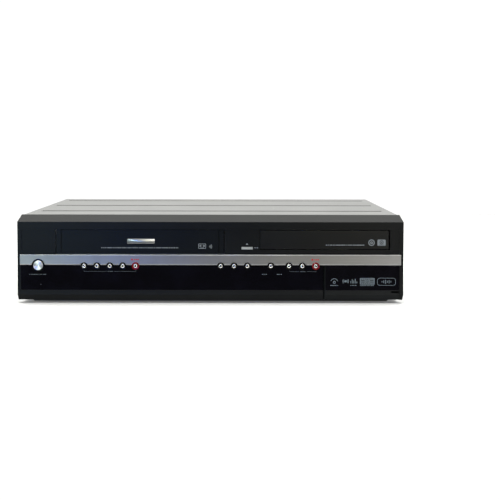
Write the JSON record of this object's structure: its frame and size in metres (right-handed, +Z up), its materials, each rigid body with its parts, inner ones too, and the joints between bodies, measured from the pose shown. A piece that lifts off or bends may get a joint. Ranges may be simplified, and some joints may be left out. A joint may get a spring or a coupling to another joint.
{
  "type": "disc and cassette combination player",
  "caption": "Low full-width player case with a hinged cassette door, a sliding disc tray, a metal strip with round keys, a dark window and a side-hinged jack flap.",
  "frame": {"origin": "on the table, under the middle of the overall box, jacks and power button included", "axes": "+X to the right seen from the front, +Y to the back, +Z up; the front face looks along -Y"},
  "size_m": [0.435, 0.356, 0.0995],
  "materials": {
    "zinc_sheet": "zinc-plated sheet, satin",
    "foot_rubber": "matte",
    "rear_sheet": "satin black paint",
    "cover_paint": "satin charcoal paint with a fine texture",
    "screw_black": "black zinc",
    "panel_plastic": "satin moulded plastic",
    "gloss_window": "high gloss",
    "brushed_trim": "horizontal brushing",
    "ring_black": "gloss",
    "ring_red": "gloss",
    "key_metal": "satin plated",
    "door_plastic": "satin moulded plastic",
    "jack_metal": "nickel plated",
    "circuit_board": "solder mask",
    "display_glass": "tube glass, gloss",
    "inner_plastic": "moulded",
    "white_plastic": "moulded acetal",
    "motor_metal": "turned",
    "drum_alloy": "turned and polished",
    "roller_rubber": "ground",
    "power_circuit": "phenolic board",
    "inlet_plastic": "moulded"
  },
  "bodies": {
    "case": {"base_chassis": "zinc_sheet", "feet": "foot_rubber", "rear_panel": "rear_sheet", "top_cover": "cover_paint", "case_screws": "screw_black", "front_panel": "panel_plastic", "display_window": "gloss_window", "silver_strip": "brushed_trim", "button_rings": "ring_black", "record_rings": "ring_red", "front_jacks": "jack_metal", "key_board": "circuit_board", "display_module": "display_glass", "drive_case": "inner_plastic", "clamp_bridge": "zinc_sheet", "tray_motor": "motor_metal", "deck_chassis": "zinc_sheet", "carriage_guides": "zinc_sheet", "drum_base": "drum_alloy", "fixed_heads": "drum_alloy", "main_board": "circuit_board", "power_board": "power_circuit", "rear_jacks": "jack_metal", "mains_inlet": "inlet_plastic", "cooling_fan": "inner_plastic"},
    "power_key": {"power_button": "key_metal"},
    "eject_key": {"eject_button": "key_metal"},
    "tape_rewind_key": {"tape_rewind_button": "key_metal"},
    "tape_play_key": {"tape_play_button": "key_metal"},
    "tape_forward_key": {"tape_forward_button": "key_metal"},
    "tape_stop_key": {"tape_stop_button": "key_metal"},
    "tape_record_key": {"tape_record_button": "key_metal"},
    "channel_down_key": {"channel_down_button": "key_metal"},
    "channel_up_key": {"channel_up_button": "key_metal"},
    "source_key": {"source_button": "key_metal"},
    "dubbing_key": {"dubbing_button": "key_metal"},
    "disc_stop_key": {"disc_stop_button": "key_metal"},
    "disc_play_key": {"disc_play_button": "key_metal"},
    "disc_record_key": {"disc_record_button": "key_metal"},
    "door": {"cassette_door": "door_plastic"},
    "flap": {"jack_flap": "gloss_window"},
    "tray": {"disc_tray": "inner_plastic", "tray_bezel": "door_plastic"},
    "loading_gear": {"tray_gear": "white_plastic"},
    "traverse": {"pickup_chassis": "zinc_sheet", "spindle_motor": "motor_metal"},
    "spinner": {"turntable": "inner_plastic"},
    "pickup": {"optical_pickup": "motor_metal"},
    "clamper": {"disc_clamper": "white_plastic"},
    "slider": {"carriage_slider": "zinc_sheet"},
    "basket": {"cassette_basket": "zinc_sheet"},
    "drum": {"head_drum": "drum_alloy"},
    "capstan_wheel": {"capstan": "motor_metal"},
    "arm": {"pinch_arm": "motor_metal"},
    "roller": {"pinch_roller": "roller_rubber"},
    "supply_table": {"supply_reel": "inner_plastic"},
    "takeup_table": {"takeup_reel": "inner_plastic"},
    "supply_post": {"supply_guide": "motor_metal"},
    "takeup_post": {"takeup_guide": "motor_metal"},
    "rotor": {"fan_rotor": "inner_plastic"}
  },
  "joints": [
    {"name": "power_press", "type": "slide", "parent": "case", "child": "power_key", "axis": [0, 1, 0], "range_m": [0, 0.0005], "stiffness_N_per_m": 80, "springref_m": -0.003},
    {"name": "eject_press", "type": "slide", "parent": "case", "child": "eject_key", "axis": [0, 1, 0], "range_m": [0, 0.0005], "stiffness_N_per_m": 60, "springref_m": -0.003},
    {"name": "tape_rewind_press", "type": "slide", "parent": "case", "child": "tape_rewind_key", "axis": [0, 1, 0], "range_m": [0, 0.0005], "stiffness_N_per_m": 60, "springref_m": -0.003},
    {"name": "tape_play_press", "type": "slide", "parent": "case", "child": "tape_play_key", "axis": [0, 1, 0], "range_m": [0, 0.0005], "stiffness_N_per_m": 60, "springref_m": -0.003},
    {"name": "tape_forward_press", "type": "slide", "parent": "case", "child": "tape_forward_key", "axis": [0, 1, 0], "range_m": [0, 0.0005], "stiffness_N_per_m": 60, "springref_m": -0.003},
    {"name": "tape_stop_press", "type": "slide", "parent": "case", "child": "tape_stop_key", "axis": [0, 1, 0], "range_m": [0, 0.0005], "stiffness_N_per_m": 60, "springref_m": -0.003},
    {"name": "tape_record_press", "type": "slide", "parent": "case", "child": "tape_record_key", "axis": [0, 1, 0], "range_m": [0, 0.0005], "stiffness_N_per_m": 60, "springref_m": -0.003},
    {"name": "channel_down_press", "type": "slide", "parent": "case", "child": "channel_down_key", "axis": [0, 1, 0], "range_m": [0, 0.0005], "stiffness_N_per_m": 60, "springref_m": -0.003},
    {"name": "channel_up_press", "type": "slide", "parent": "case", "child": "channel_up_key", "axis": [0, 1, 0], "range_m": [0, 0.0005], "stiffness_N_per_m": 60, "springref_m": -0.003},
    {"name": "source_press", "type": "slide", "parent": "case", "child": "source_key", "axis": [0, 1, 0], "range_m": [0, 0.0005], "stiffness_N_per_m": 60, "springref_m": -0.003},
    {"name": "dubbing_press", "type": "slide", "parent": "case", "child": "dubbing_key", "axis": [0, 1, 0], "range_m": [0, 0.0005], "stiffness_N_per_m": 60, "springref_m": -0.003},
    {"name": "disc_stop_press", "type": "slide", "parent": "case", "child": "disc_stop_key", "axis": [0, 1, 0], "range_m": [0, 0.0005], "stiffness_N_per_m": 60, "springref_m": -0.003},
    {"name": "disc_play_press", "type": "slide", "parent": "case", "child": "disc_play_key", "axis": [0, 1, 0], "range_m": [0, 0.0005], "stiffness_N_per_m": 60, "springref_m": -0.003},
    {"name": "disc_record_press", "type": "slide", "parent": "case", "child": "disc_record_key", "axis": [0, 1, 0], "range_m": [0, 0.0005], "stiffness_N_per_m": 60, "springref_m": -0.003},
    {"name": "door_swing", "type": "hinge", "parent": "case", "child": "door", "pos_m": [-0.07945, -0.1724, 0.0846], "axis": [1, 0, 0], "range_deg": [0, 90], "stiffness_Nm_per_rad": 0.006, "springref_deg": -22.92},
    {"name": "flap_swing", "type": "hinge", "parent": "case", "child": "flap", "pos_m": [0.1305, -0.1732, 0.025], "axis": [0, 0, -1], "range_deg": [0, 95]},
    {"name": "tray_slide", "type": "slide", "parent": "case", "child": "tray", "axis": [0, -1, 0], "range_m": [0, 0.15]},
    {"name": "gear_turn", "type": "hinge", "parent": "case", "child": "loading_gear", "pos_m": [0.0837, -0.1344, 0.06], "axis": [0, 0, 1], "range_deg": [0, 717]},
    {"name": "traverse_tilt", "type": "hinge", "parent": "case", "child": "traverse", "pos_m": [0.1283, 0.0216, 0.056], "axis": [1, 0, 0], "range_deg": [0, 3.5]},
    {"name": "disc_spin", "type": "hinge", "parent": "traverse", "child": "spinner", "pos_m": [0.1283, -0.0964, 0.055], "axis": [0, 0, 1], "continuous": true},
    {"name": "pickup_travel", "type": "slide", "parent": "traverse", "child": "pickup", "axis": [0, 1, 0], "range_m": [0, 0.034]},
    {"name": "clamper_spin", "type": "hinge", "parent": "case", "child": "clamper", "pos_m": [0.1283, -0.0964, 0.076], "axis": [0, 0, 1], "continuous": true},
    {"name": "carriage_travel", "type": "slide", "parent": "case", "child": "slider", "axis": [0, 1, 0], "range_m": [-0.06, 0]},
    {"name": "basket_drop", "type": "slide", "parent": "slider", "child": "basket", "axis": [0, 0, -1], "range_m": [0, 0.03]},
    {"name": "drum_spin", "type": "hinge", "parent": "case", "child": "drum", "pos_m": [-0.07945, 0.0446, 0.022], "axis": [0, -0.0872, 0.9962], "continuous": true},
    {"name": "capstan_spin", "type": "hinge", "parent": "case", "child": "capstan_wheel", "pos_m": [-0.01745, 0.0136, 0.02], "axis": [0, 0, 1], "continuous": true},
    {"name": "pinch_swing", "type": "hinge", "parent": "case", "child": "arm", "pos_m": [0.00455, 0.0316, 0.025], "axis": [0, 0, -1], "range_deg": [0, 25]},
    {"name": "roller_spin", "type": "hinge", "parent": "arm", "child": "roller", "pos_m": [-0.00068, 0.01209, 0.025], "axis": [0, 0, 1], "continuous": true},
    {"name": "supply_spin", "type": "hinge", "parent": "case", "child": "supply_table", "pos_m": [-0.12545, -0.0504, 0.022], "axis": [0, 0, 1], "continuous": true},
    {"name": "takeup_spin", "type": "hinge", "parent": "case", "child": "takeup_table", "pos_m": [-0.03345, -0.0504, 0.022], "axis": [0, 0, 1], "continuous": true},
    {"name": "loading_travel", "type": "slide", "parent": "case", "child": "supply_post", "axis": [-0.2912, 0.9567, 0], "range_m": [0, 0.048]},
    {"name": "takeup_loading", "type": "slide", "parent": "case", "child": "takeup_post", "axis": [0.2912, 0.9567, 0], "range_m": [0, 0.048]},
    {"name": "fan_spin", "type": "hinge", "parent": "case", "child": "rotor", "pos_m": [-0.0395, 0.1574, 0.0712], "axis": [0, 1, 0], "continuous": true}
  ],
  "couplings": [
    {"joint": "gear_turn", "follows": "tray_slide", "rad_per_m": 83.333},
    {"joint": "takeup_loading", "follows": "loading_travel", "ratio": 1}
  ]
}
